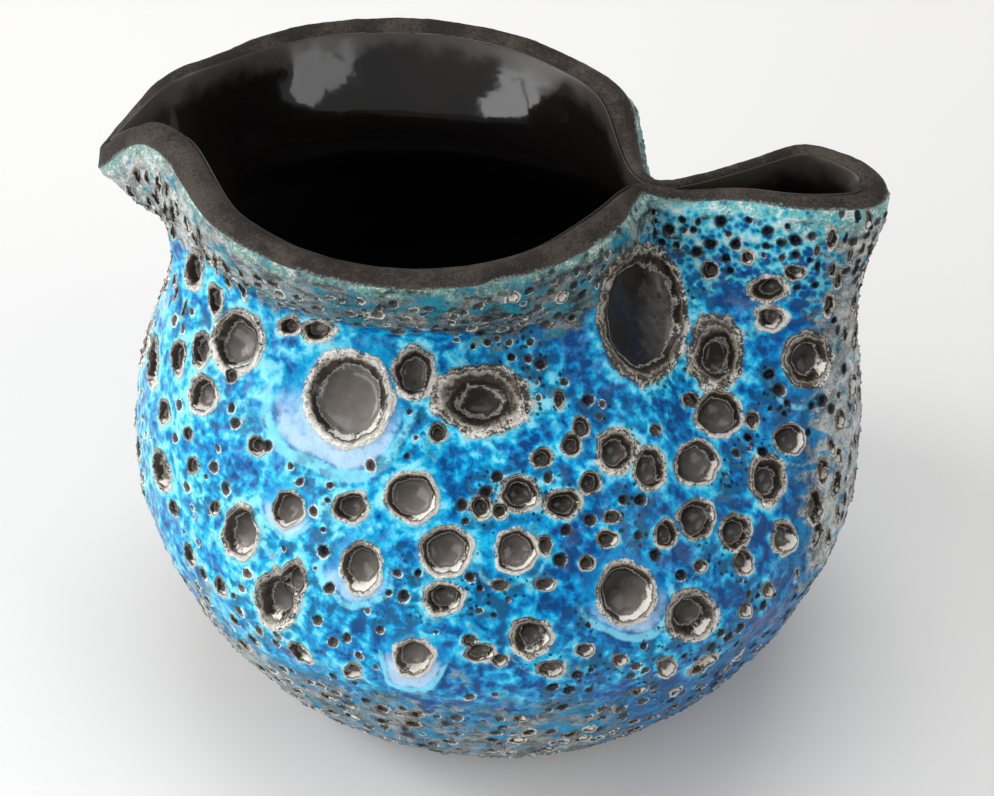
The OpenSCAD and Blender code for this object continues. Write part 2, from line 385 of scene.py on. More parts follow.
SMALL_CRATERS = [
    (179, 358, 19, 39), (202, 350, 18, 40), (590, 483, 24, 26), (666, 534, 26, 31), (607, 539, 24, 20),
    (743, 562, 23, 29), (481, 507, 23, 27), (545, 584, 24, 15), (438, 433, 20, 22), (571, 445, 22, 26),
    (581, 427, 19, 25), (542, 458, 25, 22), (559, 399, 13, 22), (587, 563, 18, 18), (257, 446, 18, 23),
    (854, 338, 10, 30), (814, 507, 18, 40), (816, 534, 14, 30), (836, 483, 12, 30), (822, 471, 14, 30),
    (795, 272, 24, 17), (710, 270, 20, 20), (232, 376, 14, 18), (214, 467, 12, 14), (193, 466, 13, 19),
    (215, 508, 11, 17), (189, 434, 11, 15), (165, 412, 16, 27), (174, 508, 13, 19), (190, 555, 15, 27),
    (333, 642, 12, 12), (347, 638, 11, 11), (353, 671, 20, 17), (404, 596, 13, 15), (480, 652, 34, 20),
    (551, 668, 32, 18), (666, 667, 22, 22), (703, 664, 30, 24), (585, 570, 15, 16), (545, 545, 15, 24),
    (612, 517, 20, 15), (497, 477, 14, 14), (486, 492, 15, 15), (500, 511, 18, 18), (462, 505, 14, 14),
    (500, 585, 20, 13), (560, 560, 16, 16), (583, 583, 16, 14), (530, 525, 14, 13), (566, 530, 14, 13),
    (268, 446, 12, 13), (232, 408, 9, 12), (180, 405, 9, 14), (176, 438, 8, 12), (640, 500, 14, 14),
    (590, 520, 15, 14), (655, 430, 14, 13), (690, 400, 20, 16), (752, 420, 15, 20), (840, 420, 12, 24),
    (852, 385, 9, 26), (762, 452, 12, 12), (655, 555, 13, 14), (470, 577, 12, 12), (700, 566, 16, 15),
    (680, 575, 12, 13), (768, 590, 14, 18), (745, 610, 15, 18), (330, 588, 12, 13), (318, 620, 11, 12),
    (222, 586, 14, 22), (205, 575, 10, 20), (255, 640, 14, 16), (236, 620, 12, 16), (380, 630, 10, 10),
    (470, 640, 18, 14), (500, 660, 20, 14), (585, 650, 22, 15), (620, 660, 18, 14), (640, 690, 20, 12),
]
SMALL_RING = 0.25
SMALL_LIP = 0.3
SMALL_TONE = 0.4
glaze_tree = tree_of(glaze.data)


class Crater:
    """One open bubble: its place, its half widths along the surface, its ring, its lip and its floor."""

    def __init__(self, place, normal, along, half_along, half_across, ring, lip, tone, outline=None):
        self.place = np.array(place)
        self.normal = np.array(normal)
        self.along = np.array(along)
        self.across = np.cross(self.normal, self.along)
        self.half_along = half_along
        self.half_across = half_across
        self.ring = ring
        self.lip = lip
        self.tone = tone
        self.outline = outline
        self.size = max(half_along, half_across)


def flattened(direction, normal):
    """Part of a direction that lies in the surface."""
    return direction - normal * direction.dot(normal)


MOST_SLANT = 0.4
PLAIN_VIEW = 0.5


def seen_crater(x, y, width, height, ring=SMALL_RING, lip=SMALL_LIP, tone=SMALL_TONE):
    """The crater at a pixel of the photograph, or None where the ray misses."""
    direction = ray_through(x, y)
    place, normal, index, away = glaze_tree.ray_cast(eye, direction)
    if place is None:
        return None
    along = flattened(right, normal)
    slant_along = max(along.length, MOST_SLANT)
    slant_across = max(flattened(upward, normal).length, MOST_SLANT)
    per_pixel = away / FOCAL_PX
    outline = (x, y, width / 2, height / 2) if -direction.dot(normal) > PLAIN_VIEW else None
    return Crater(place, normal, along.normalized(), width / 2 * per_pixel / slant_along,
                  height / 2 * per_pixel / slant_across, ring, lip, tone, outline)


craters = [c for c in (seen_crater(*row) for row in LARGE_CRATERS + SMALL_CRATERS) if c]
print(len(craters), "craters placed from the photograph")

# %% [markdown]
# The solid glaze has craters of its own, also on the sides that the photograph hides. A ray cast inward from
# each vertex that the camera doesn't see tells whether it lies over one, since the ray then goes deeper.
# Neighbouring vertices of this kind make one crater.

# %% Craters of the solid on the hidden sides
SEEN_SIDE = 0.1
START_OVER = 2 * MM
SUNK = 0.7 * MM
NEIGHBOUR = 0.7 * MM
FEWEST = 12
HIDDEN_LIP = 0.25
LIP_OUTSIDE = 1.1
SCATTER_SEED = 7
chance = random.Random(SCATTER_SEED)
toward_eye = np.array(eye) - places
facing = (normals * toward_eye).sum(1) / np.linalg.norm(toward_eye, axis=1)
solid_tree = tree_of(frame["nodes"]["lava_glaze"].data)


def points_near(tree, place, reach):
    """Indices of the points within reach of a place."""
    return np.array([found[1] for found in tree.find_range(place, reach)], int)


def is_sunk(i):
    """Whether the solid glaze lies deeper than usual under a vertex."""
    start = Vector(places[i] + normals[i] * START_OVER)
    away = solid_tree.ray_cast(start, Vector(-normals[i]))[3]
    return away is None or away > START_OVER + SUNK


wall_spots = np.flatnonzero((from_rim > 4 * MM) & (from_foot > 4 * MM) & (facing < 3 * SEEN_SIDE))
sunk = np.array([i for i in wall_spots if is_sunk(i)])
sunk_tree = search_tree(places[sunk])


def groups_of(count, tree, points):
    """Groups of points that are connected by steps between neighbours."""
    waiting = set(range(count))
    while waiting:
        open_ends = [waiting.pop()]
        group = []
        while open_ends:
            i = open_ends.pop()
            group.append(i)
            beside = [j for j in points_near(tree, points[i], NEIGHBOUR) if j in waiting]
            waiting.difference_update(beside)
            open_ends.extend(beside)
        yield group


def solid_crater(group):
    """The crater that a group of sunk vertices makes."""
    spots = sunk[group]
    place = places[spots].mean(0)
    normal = normals[spots].mean(0)
    spread, axes = np.linalg.eigh(np.cov((places[spots] - place).T))
    half_across, half_along = 2 * LIP_OUTSIDE * np.sqrt(spread[1:])
    normal /= np.linalg.norm(normal)
    ring, tone = chance.random(), chance.random()
    return Crater(place, normal, axes[:, 2], half_along, half_across, ring, HIDDEN_LIP, tone)


for group in groups_of(len(sunk), sunk_tree, places[sunk]):
    seen = facing[sunk[group]].mean() > SEEN_SIDE
    if len(group) >= FEWEST and not seen:
        craters.append(solid_crater(group))
print(len(craters), "craters with those of the solid")

# %% [markdown]
# The hidden sides also get smaller craters from a seeded scatter, and small pits break through everywhere:
# closely under the rim and near the foot, where the glaze is a foam, and in swarms between the craters.

# %% Craters and pits by scatter
HIDDEN_SIZES = [(2.2, 50), (1.7, 80), (1.4, 110)]
COLLAR_WIDTH = 13 * MM
MOST_CRATERS = 5000
SWARM_SIZE = 9 * MM
SWARM_SEED = 21
TRIES = 12
NARROWEST = 0.75
HANDLE_FROM, HANDLE_TO = 44 * MM, 52 * MM
HANDLE_LOW, HANDLE_HIGH = 25 * MM, 45 * MM
centres = np.zeros((MOST_CRATERS, 3))
reaches = np.zeros(MOST_CRATERS)
for i, crater in enumerate(craters):
    centres[i] = crater.place
    reaches[i] = crater.size


def swarm_at(points):
    """How much of a swarm of pits there is at each point, from 0 to 1."""
    return ramp(-0.05, 0.25, lumps(points, SWARM_SIZE, SWARM_SEED))


def handle_end_at(points):
    """How far each point lies on the outer end of the handle, from 0 to 1."""
    return ramp(HANDLE_FROM, HANDLE_TO, points[:, 0]) * ramp(HANDLE_LOW, HANDLE_HIGH, points[:, 2])


def scatter(wanted, allowed, sizes, spacing, lip, longer):
    """Adds craters of random size at random allowed vertices, clear of the ones there are."""
    spots = np.flatnonzero(allowed)
    before = len(craters)
    for attempt in range(wanted * TRIES):
        i = spots[chance.randrange(len(spots))]
        size = chance.uniform(*sizes)
        count = len(craters)
        gaps = np.linalg.norm(centres[:count] - places[i], axis=1) - spacing * (reaches[:count] + size)
        if count - before == wanted or gaps.min() < 0:
            continue
        normal = Vector(normals[i])
        turn = Vector((chance.uniform(-1, 1), chance.uniform(-1, 1), chance.uniform(-1, 1)))
        down = Vector((0, 0, -1)) if longer > 1 else turn
        along = flattened(down, normal).normalized()
        narrow = chance.uniform(NARROWEST, 1)
        ring, tone = chance.random() ** 2, chance.random()
        crater = Crater(places[i], normal, along, size * longer, size * narrow, ring, lip, tone)
        centres[count] = crater.place
        reaches[count] = size
        craters.append(crater)
    return len(craters) - before


hidden = facing < SEEN_SIDE
on_wall = (from_rim > COLLAR_WIDTH) & (from_foot > 9 * MM)
for size_mm, wanted in HIDDEN_SIZES:
    room = hidden & on_wall & (from_rim > 6 * MM + size_mm * MM)
    scatter(wanted, room, (0.85 * size_mm * MM, 1.15 * size_mm * MM), 1.1, 0.27, 1.0)
foot_foam = from_foot < 34 * MM
under_lip = (from_rim < 22 * MM) & (places[:, 0] < -34 * MM)
foam_band = (from_rim > 2.2 * MM) & (from_rim < COLLAR_WIDTH)
low_wall = from_rim > 6 * MM
swarms = (swarm_at(places) > 0.5) & low_wall
# Each kind has a name, a number, a region, the range of its radius in mm, a spacing, a lip and a stretch.
PIT_KINDS = [
    ("foot pits", 520, foot_foam & (from_foot > 3 * MM), (0.7, 1.7), 1.02, 0.4, 1.0),
    ("lip streaks", 110, under_lip & (from_rim > 4 * MM), (0.6, 1.2), 1.3, 0.4, 2.1),
    ("handle pits", 90, handle_end_at(places) > 0.5, (0.6, 1.3), 1.2, 0.4, 1.8),
    ("collar pits", 260, foam_band & ~under_lip, (0.5, 1.3), 1.02, 0.4, 1.0),
    ("swarm pits", 480, swarms, (0.45, 1.25), 1.0, 0.36, 1.0),
    ("wall pits", 90, low_wall, (0.5, 1.0), 1.3, 0.36, 1.0),
]
for name, wanted, region, (smallest, largest), spacing, lip, longer in PIT_KINDS:
    added = scatter(wanted, region, (smallest * MM, largest * MM), spacing, lip, longer)
    print(f"{name}: {added}")

# %% [markdown]
# A crater's lip is thin, so the faces near the edge of each bowl are subdivided once more before the craters
# are pressed in.

# %% Finer faces at the lips
LIP_FROM, LIP_TO = 0.55, 1.12


def crater_polar(crater, points):
    """Distance from a crater's middle, 1 at the outside of its lip, and the angle round it."""
    if crater.outline:
        middle_x, middle_y, half_width, half_height = crater.outline
        offset = points - np.array(eye)
        per_depth = FOCAL_PX / -(offset @ np.array(back))
        x = (FRAME_W / 2 + offset @ np.array(right) * per_depth - middle_x) / half_width
        y = (FRAME_H / 2 - offset @ np.array(upward) * per_depth - middle_y) / half_height
    else:
        offset = points - crater.place
        x = offset @ crater.along / crater.half_along
        y = offset @ crater.across / crater.half_across
    return np.hypot(x, y), np.arctan2(y, x)


point_tree = search_tree(places)
near_lip = np.zeros(len(places), bool)
for crater in craters:
    near = points_near(point_tree, crater.place, LIP_TO * crater.size)
    part = crater_polar(crater, places[near])[0]
    near_lip[near[(part > LIP_FROM) & (part < LIP_TO)]] = True
refined = mark(glaze, "polygons", lambda f: near_lip[f.vertices[0]] or near_lip[f.vertices[2]])
bpy.ops.mesh.subdivide(number_cuts=1)
bpy.ops.object.mode_set(mode="OBJECT")
places, normals = read_points(glaze)
from_rim = distance_to(places, rim_line)
from_foot = distance_to(places, foot_line)
point_tree = search_tree(places)
print(refined, "faces refined;", len(places), "vertices now")

# %% [markdown]
# Each vertex collects how far it lies inside the edge of a crater, how deep in its bowl and how far up its
# lip. A bowl is round inside and its lip is ragged: the distance to a crater's middle wavers round its edge.
# Round some large craters the glaze lies in a smooth pool without pits, inside a pale ring. The same values
# are kept as attributes, so that the finish follows the shape.

# %% Press the craters into the glaze
LIP_HEIGHT = 0.5 * MM
BOWL_DEPTH = 1.95 * MM
DEEPEST = 0.85
WALL_START = 0.08
STEEP_SHARE = 0.45
PIT_SIZE = 1.25 * MM
LEAST_LIP = 0.2
FULL_LIP_SIZE = 5 * MM
HALO_WIDTH = 0.24
FULL_HALO_SIZE = 2.5 * MM
LEAST_RING = 0.3
ANY_PHASE = 6.28
WAVES = [(2, 0.03), (3, 0.035), (5, 0.03), (8, 0.025)]
WAVES_UP_TO = 3 * MM
RING_REACH = 2.3
LIP_REACH = 1.6
WALL_WIDTH = 0.3
LAYER_STRETCH = 0.35
POOL_EDGE = 1.5
RING_WIDTH = 0.13
RING_WAVES = [(1, 0.09), (2, 0.08), (3, 0.05), (5, 0.03)]
MOST_POOL = 0.3
RING_HEIGHT = 0.15 * MM
sink = np.zeros(len(places))
lip_rise = np.zeros(len(places))
ring = np.zeros(len(places))
pool = np.zeros(len(places))
lilac = np.zeros(len(places))
halo = np.zeros(len(places))
bowl = np.full(len(places), -1.0)
pit = np.full(len(places), -1.0)
tone = np.zeros(len(places))
crust = np.zeros(len(places))
UP = np.array((0, 0, 1))
# Painted light: the side of each crater that the finish paints as lit, downward and a little sideways round
# the jug.
PAINTED_LIGHT_SIDEWAYS, PAINTED_LIGHT_DOWN = 0.6, 0.8


def grow(values, where, new):
    """Raises values to new ones where those are larger."""
    values[where] = np.maximum(values[where], new)


def press(crater):
    """Adds one crater to the values of the vertices round it."""
    ringed = crater.ring > LEAST_RING and crater.size > PIT_SIZE
    near = points_near(point_tree, crater.place, (RING_REACH if ringed else LIP_REACH) * crater.size)
    near = near[normals[near] @ crater.normal > 0]
    if len(near) == 0:
        return
    part, angle = crater_polar(crater, places[near])
    if crater.size < PIT_SIZE and pool[near[np.argmin(part)]] > MOST_POOL:
        return
    waver = min(1, WAVES_UP_TO / crater.size)
    for waves, height in WAVES:
        part = part * (1 + waver * height * np.sin(waves * angle + chance.uniform(0, ANY_PHASE)))
    inner = 1 - crater.lip
    deep = min(BOWL_DEPTH, DEEPEST * min(crater.half_along, crater.half_across))
    steep = ramp(0, WALL_WIDTH, inner + WALL_START - part)
    dish = np.clip(1 - (part / inner) ** 2, 0, 1)
    band = np.exp(-((part - inner - 0.55 * crater.lip) / (0.5 * crater.lip)) ** 2)
    grow(sink, near, deep * (STEEP_SHARE * steep + (1 - STEEP_SHARE) * dish))
    grow(lip_rise, near, band * LIP_HEIGHT * min(1, LEAST_LIP + crater.size / FULL_LIP_SIZE))
    inward = np.clip((1 - part) / crater.lip, -1, 3)
    own = inward > np.maximum(bowl, pit)[near]
    tone[near[own]] = crater.tone
    # Painted light: how far each vertex lies towards the lit side of its crater.
    painted_light_direction = PAINTED_LIGHT_SIDEWAYS * np.cross(UP, crater.normal) - PAINTED_LIGHT_DOWN * UP
    crust[near[own]] = ((places[near] - crater.place) @ painted_light_direction / crater.size)[own]
    grow(pit if crater.size < PIT_SIZE else bowl, near, inward)
    outward = np.clip(part - 1, 0, 9)
    grow(halo, near, np.exp(-(outward / HALO_WIDTH) ** 2) * min(1, crater.size / FULL_HALO_SIZE))
    if ringed:
        height = (places[near, 2] - crater.place[2]) / crater.size
        below = np.clip(0.3 - 1.4 * height / (1 + np.abs(height)), 0, 1)
        for waves, reach in RING_WAVES:
            part = part * (1 + reach * np.sin(waves * angle + chance.uniform(0, ANY_PHASE)))
        grow(pool, near, crater.ring * ramp(0, 0.4, POOL_EDGE - part))
        grow(lilac, near, crater.ring ** 4 * below * ramp(0, 0.25, POOL_EDGE - part))
        grow(ring, near, crater.ring * below * np.exp(-((part - POOL_EDGE) / RING_WIDTH) ** 2))


for crater in craters:
    press(crater)
print("craters and pits:", len(craters))

# %% [markdown]
# Between the craters the glaze flows in lumps, and where it is a foam it is rough and layered. The relief
# fades out at the rim and at the foot.

# %% Relief between the craters
GLAZE_GAP = 0.15 * MM
RIM_QUIET = 1.5 * MM
FOOT_QUIET = 2 * MM
FOOT_FOAM_FROM, FOOT_FOAM_TO = 22 * MM, 46 * MM
HANDLE_FOAM = 0.8
POOL_CALM = 0.7
collar = 1 - ramp(0.5 * COLLAR_WIDTH, 1.4 * COLLAR_WIDTH, from_rim)
hollow = np.clip(np.maximum(bowl, pit), 0, 1)
crumbs = lumps(places, 0.7 * MM, 11)
flow = lumps(places, 7 * MM, 3) * 0.3 * MM + lumps(places, 2.2 * MM, 5) * 0.34 * MM
layers = np.column_stack((places[:, :2] * LAYER_STRETCH, from_rim))
layered = lumps(layers, 1.3 * MM, 13) * collar
foam = (lumps(places, 1.4 * MM, 9) * 0.3 + layered * 0.35 + crumbs * 0.14) * MM
low_foam = 1 - ramp(FOOT_FOAM_FROM, FOOT_FOAM_TO, from_foot)
foamy = np.maximum(np.maximum(collar, low_foam), HANDLE_FOAM * handle_end_at(places))
quiet = np.clip(from_rim / RIM_QUIET, 0, 1) * np.clip(from_foot / FOOT_QUIET, 0, 1)
open_wall = (flow * (1 - POOL_CALM * pool) + foam * foamy) * (1 - hollow) + ring * RING_HEIGHT
rise = open_wall + lip_rise * (0.9 + 0.9 * crumbs) - sink
write_points(glaze, places + normals * (rise * quiet)[:, None])
lift_off_clay(glaze, GLAZE_GAP)


def keep_values(piece, name, values):
    """Stores one number for each vertex under a name that the material reads."""
    layer = piece.data.attributes.new(name, "FLOAT", "POINT")
    layer.data.foreach_set("value", np.ascontiguousarray(values, np.float32))


for name, values in (
        ("bowl", bowl), ("pit", pit), ("tone", tone), ("crust", crust), ("ring", ring), ("pool", pool),
        ("lilac", lilac), ("halo", halo), ("foam", foamy), ("flow", flow / MM),
        ("swarm", swarm_at(places)), ("from_rim", from_rim / MM)):
    keep_values(glaze, name, values)
print("relief up to", round(rise.max() / MM, 2), "mm high and", round(-rise.min() / MM, 2), "mm deep")

# %% [markdown]
# The rim was wiped by hand, so it isn't quite even. Its two edges stay where the other coats meet them.

# %% Uneven rim
HELD_EDGE = 0.8 * MM
rim_places, rim_normals = read_points(rim)
rim_edge = rim_places[np.unique(open_edges(rim))]
uneven = lumps(rim_places, 5 * MM, 21) * 0.2 * MM + lumps(rim_places, 1.2 * MM, 22) * 0.09 * MM
held = np.clip(distance_to(rim_places, rim_edge) / HELD_EDGE, 0, 1)
write_points(rim, rim_places + rim_normals * (uneven * held)[:, None])
lift_off_clay(rim, COAT_GAP)
keep_values(rim, "from_glaze", distance_to(rim_places, rim_line) / MM)
liner_places = read_points(liner)[0]
liner_edge = liner_places[np.unique(open_edges(liner))]
keep_values(liner, "from_rim", distance_to(liner_places, liner_edge) / MM)
print("rim moved by up to", round(np.abs(uneven * held).max() / MM, 2), "mm")

# %% [markdown]
# One mesh of this many triangles is heavy, so the glaze is cut into eight pieces round the jug. The smooth
# normals of the whole are kept, so that the cuts don't show.

# %% Eight pieces of glaze
GLAZE_CUTS = 8
whole_normals = read_points(glaze)[1]
layer = glaze.data.attributes.new("whole_normal", "FLOAT_VECTOR", "POINT")
layer.data.foreach_set("vector", whole_normals.astype(np.float32).ravel())


def sector(face):
    """Number of the eighth of a turn that a face lies in."""
    turn = math.atan2(face.center.y, face.center.x) / math.tau % 1
    return int(turn * GLAZE_CUTS)


def cut_off(number):
    """Separates one sector of the glaze into a new piece."""
    mark(glaze, "polygons", lambda f: sector(f) == number)
    bpy.ops.mesh.separate(type="SELECTED")
    bpy.ops.object.mode_set(mode="OBJECT")
    return [o for o in bpy.context.selected_objects if o != glaze][0]


glaze_pieces = [cut_off(number) for number in range(GLAZE_CUTS - 1)] + [glaze]
for number, piece in enumerate(glaze_pieces):
    piece.name = piece.data.name = f"crater_glaze_{number + 1}"
    kept = np.empty(len(piece.data.vertices) * 3, np.float32)
    piece.data.attributes["whole_normal"].data.foreach_get("vector", kept)
    piece.data.normals_split_custom_set_from_vertices(kept.reshape(-1, 3).tolist())
    piece.data.calc_loop_triangles()
    print(piece.name, len(piece.data.loop_triangles), "triangles")

# %% [markdown]
# Shader maths reads best as Python expressions. One small class wraps a socket, and its operators add Math
# nodes. Every other node comes from one method that takes the node's type, its settings and its inputs.

# %% Shader helpers
class Socket:
    """An output of a node that can be used in sums and products."""

    def __init__(self, tree, output):
        self.tree = tree
        self.output = output

    def math(self, operation, first, second):
        return make_node(self.tree, "ShaderNodeMath", {"operation": operation}, {0: first, 1: second})

    def __add__(self, other):
        return self.math("ADD", self, other)

    def __radd__(self, other):
        return self.math("ADD", other, self)

    def __sub__(self, other):
        return self.math("SUBTRACT", self, other)

    def __rsub__(self, other):
        return self.math("SUBTRACT", other, self)

    def __mul__(self, other):
        return self.math("MULTIPLY", self, other)


def make_node(tree, kind, settings=None, inputs=None, output=0):
    """Adds one node, sets it up, links its inputs and returns one of its outputs."""
    made = tree.nodes.new(kind)
    for key, value in (settings or {}).items():
        if key == "stops":
            while len(made.color_ramp.elements) < len(value):
                made.color_ramp.elements.new(0.5)
            for stop, (place, colour) in zip(made.color_ramp.elements, value):
                stop.position = place
                stop.color = (*colour, 1)
        else:
            setattr(made, key, value)
    for key, value in (inputs or {}).items():
        if isinstance(value, Socket):
            tree.links.new(value.output, made.inputs[key])
        elif isinstance(value, tuple) and len(value) == 3 and made.inputs[key].type == "RGBA":
            made.inputs[key].default_value = (*value, 1)
        else:
            made.inputs[key].default_value = value
    return Socket(tree, made.outputs[output]) if made.outputs else None


class Finish:
    """A new material with shortcuts for the nodes that the coats share."""

    def __init__(self, name):
        self.material = bpy.data.materials.new(name)
        self.material.use_nodes = True
        self.tree = self.material.node_tree
        self.tree.nodes.clear()
        self.place = self.node("ShaderNodeTexCoord", output="Object")

    def node(self, kind, settings=None, inputs=None, output=0):
        return make_node(self.tree, kind, settings, inputs, output)

    def value(self, name):
        return self.node("ShaderNodeAttribute", {"attribute_name": name}, output="Fac")

    def noise(self, size_mm, detail=3.0, roughness=0.5, distortion=0.0, place=None):
        return self.node("ShaderNodeTexNoise", None, {
            "Vector": place or self.place, "Scale": 1000 / size_mm, "Detail": detail,
            "Roughness": roughness, "Distortion": distortion})

    def cells(self, size_mm):
        return self.node("ShaderNodeTexVoronoi", None, {
            "Vector": self.place, "Scale": 1000 / size_mm}, "Distance")

    def step(self, value, low, high):
        return self.node("ShaderNodeMapRange", {"interpolation_type": "SMOOTHSTEP"}, {
            "Value": value, "From Min": low, "From Max": high})

    def mix(self, part, first, second):
        return self.node("ShaderNodeMix", {"data_type": "RGBA"}, {0: part, 6: first, 7: second}, 2)

    def stops(self, value, *stops):
        return self.node("ShaderNodeValToRGB", {"stops": stops}, {"Fac": value})

    def bump(self, height, distance_mm):
        return self.node("ShaderNodeBump", None, {
            "Height": height, "Distance": distance_mm * MM, "Strength": 1.0})

    def surface(self, **inputs):
        names = {key.replace("_", " ").title().replace("Ior", "IOR"): v for key, v in inputs.items()}
        shader = self.node("ShaderNodeBsdfPrincipled", None, names)
        self.node("ShaderNodeOutputMaterial", None, {"Surface": shader})
        return self.material


def dress(piece, material):
    """Gives a piece one material."""
    piece.data.materials.clear()
    piece.data.materials.append(material)


print("shader helpers ready")

# %% [markdown]
# The crater glaze is several finishes in one: mottled cobalt and cyan glass on the wall, crumbly beige lips,
# dark glossy bowls, pale rings, and a grey and turquoise foam where it was thin under the rim and near the
# foot.

# %% Crater glaze finish
COBALT = (0.0, 0.055, 0.2)
AZURE = (0.0, 0.135, 0.39)
SKY = (0.0, 0.27, 0.58)
CYAN = (0.01, 0.46, 0.72)
PALE_CYAN = (0.22, 0.68, 0.86)
LILAC = (0.4, 0.6, 0.82)
NAVY = (0.002, 0.005, 0.018)
SWARM_TEAL = (0.01, 0.14, 0.22)
# Pale crust, also used as painted highlight on the lit side of lips, bowl walls and pit crumbs.
PALE_CRUST_AND_HIGHLIGHT = (0.82, 0.79, 0.72)
LIP_GREY = (0.39, 0.36, 0.31)
LIP_BROWN = (0.06, 0.047, 0.034)
BOWL_WALL = (0.024, 0.019, 0.015)
BOWL_LEDGE = (0.34, 0.32, 0.29)
FLOOR_DARK = (0.016, 0.0135, 0.012)
FLOOR_LIGHT = (0.22, 0.2, 0.18)
FOAM_DARK = (0.018, 0.03, 0.034)
FOAM_GREY = (0.19, 0.23, 0.225)
FOAM_PALE = (0.64, 0.65, 0.62)
FOAM_NAVY = (0.003, 0.045, 0.085)
FOAM_TEAL = (0.012, 0.22, 0.3)
FROTH_CYAN = (0.03, 0.5, 0.64)
TURQUOISE = (0.07, 0.37, 0.37)
EDGE_GREEN = (0.125, 0.3, 0.26)
PIT_BROWN = (0.14, 0.12, 0.1)
print("colours of the crater glaze set")

# %% [markdown]
# Next come the patterns that the finish is made of: noises from 9 mm clouds down to 0.4 mm grain, the values
# that the shape left on each vertex, and a noise drawn out along the rim for the layers of the collar.

# %% Patterns of the glaze
paint = Finish("crater_glaze")
ring_value = paint.value("ring")
halo_value = paint.value("halo")
foam_value = paint.value("foam")
# Painted light: the lit side of each crater, where lips, bowl floors, bowl walls and pits are painted
# lighter.
painted_light_value = paint.value("crust")
rim_gap = paint.value("from_rim")
broad = paint.noise(6, 2, 0.5, 0.8)
patch = paint.noise(3, 2, 0.5)
fine = paint.noise(1.7, 4, 0.55, 0.2)
cloud = paint.noise(9, 2, 0.5)
tone_value = paint.value("tone")
grain = paint.noise(0.4, 3, 0.6)
across = paint.node("ShaderNodeSeparateXYZ", None, {0: paint.place}, "X")
ahead = paint.node("ShaderNodeSeparateXYZ", None, {0: paint.place}, "Y")
layer_place = paint.node("ShaderNodeCombineXYZ", None, {
    0: across * LAYER_STRETCH, 1: ahead * LAYER_STRETCH, 2: rim_gap * MM})
layered = paint.noise(1.5, 3, 0.6, 0.3, layer_place)
wander = (fine - 0.5) * 0.9 + (grain - 0.5) * 0.6
bowl_edge = paint.value("bowl") + wander * 0.9 + (patch - 0.5) * 0.9
pit_edge = paint.value("pit") + wander * 1.1
print("patterns ready")

# %% [markdown]
# The blue glass is pale where it is thin, on lumps and beside lips, and deep where it has run together. It
# also gets paler towards the jug's left, partly its own colour and partly painted light. The pools are
# smoother, with the pale ring at their edge, and the swarms of pits are darker.

# %% Blue glass
smooth = paint.value("pool")
mottle_and_painted_light = broad * 0.35 + fine * 0.65 + halo_value * 0.12 + paint.value("flow") * 0.14
# Paler towards the jug's left: partly the glaze's own colour, partly painted light.
mottle_and_painted_light = mottle_and_painted_light * (1 - smooth * 0.7) + smooth * 0.35 - across
blue = paint.stops(mottle_and_painted_light, (0.42, COBALT), (0.475, AZURE), (0.53, SKY), (0.58, CYAN), (0.66, PALE_CYAN))
blue = paint.mix(paint.step(paint.value("lilac") * (0.3 + fine * 1.3), 0.2, 0.8), blue, LILAC)
ring_part = paint.step(ring_value * (0.1 + fine * 0.8 + patch * 0.8), 0.15, 0.55)
blue = paint.mix(ring_part * 0.8, blue, PALE_CYAN)
swarm = paint.value("swarm") * (1 - smooth)
blue = paint.mix(swarm * paint.step(1 - fine, 0.45, 0.6) * 0.6, blue, SWARM_TEAL)
print("blue glass ready")

# %% [markdown]
# Under the rim, at the end of the handle and near the foot the glaze is a foam of burst bubbles. It is dark
# and layered at the front, pale under the pouring lip and at the handle's end, and a blue froth at its side.

# %% Foam
lip_side = 1 - paint.step(across, -0.054, -0.014)
handle_side = paint.step(across, 0.018, 0.028) * (1 - paint.step(across, 0.047, 0.056))
far_side = paint.step(across, 0.045, 0.055)
low_side = paint.step(rim_gap, 20, 32)
pale_part = lip_side * (1 - low_side * 0.6) + far_side * 0.8 + low_side * 0.4
foam_tone = paint.step(layered * 0.45 + fine * 0.3 + grain * 0.25, 0.4, 0.6)
foam_light = paint.mix(paint.step(patch, 0.44, 0.6) * 0.8, FOAM_GREY, LIP_GREY)
foam_light = paint.mix(pale_part, foam_light, FOAM_PALE)
foam_shade = paint.mix(pale_part * 0.8, FOAM_DARK, FOAM_GREY)
foam = paint.mix(foam_tone, foam_shade, foam_light)
foam_blue = paint.mix(foam_tone, FOAM_NAVY, FOAM_TEAL)
bubbles = paint.cells(1.15) * 0.5 + fine * 0.6 + 0.05 - rim_gap * 0.013
froth = paint.stops(bubbles, (0.33, COBALT), (0.43, AZURE), (0.54, FROTH_CYAN), (0.82, FOAM_PALE))
foam_blue = paint.mix(handle_side, foam_blue, froth)
foam_blue = paint.mix(low_side * foam_tone * 0.7, foam_blue, SKY)
blue_part = broad * 0.4 + layered * 0.6 + handle_side * 0.12 - lip_side * 0.06 - far_side * 0.06
foam = paint.mix(paint.step(blue_part, 0.46, 0.58), foam, foam_blue)
edge_gap = rim_gap - paint.step(across, 0.035, 0.05) * 2.5
edge_line = 1 - paint.step(edge_gap + (broad - 0.5) * 9 + (fine - 0.5) * 5, 0.5, 2.4)
edge_tint = paint.mix(paint.step(across, 0.015, 0.035), EDGE_GREEN, TURQUOISE)
edge_colour = paint.mix(paint.step(grain * 0.5 + fine * 0.5, 0.48, 0.62), edge_tint, FOAM_PALE)
edge_part = edge_line * paint.step(layered * 0.4 + fine * 0.6, 0.38, 0.55)
foam = paint.mix(edge_part, foam, edge_colour)
foam_mask = paint.step(foam_value + (cloud - 0.5) * 1.3 + (broad - 0.5) + (fine - 0.5), 0.3, 0.55)
skin = paint.mix(foam_mask, blue, foam)

holes = paint.cells(1.25) + (1 - swarm) * 0.25 + foam_mask * 0.2 + (grain - 0.5) * 0.5
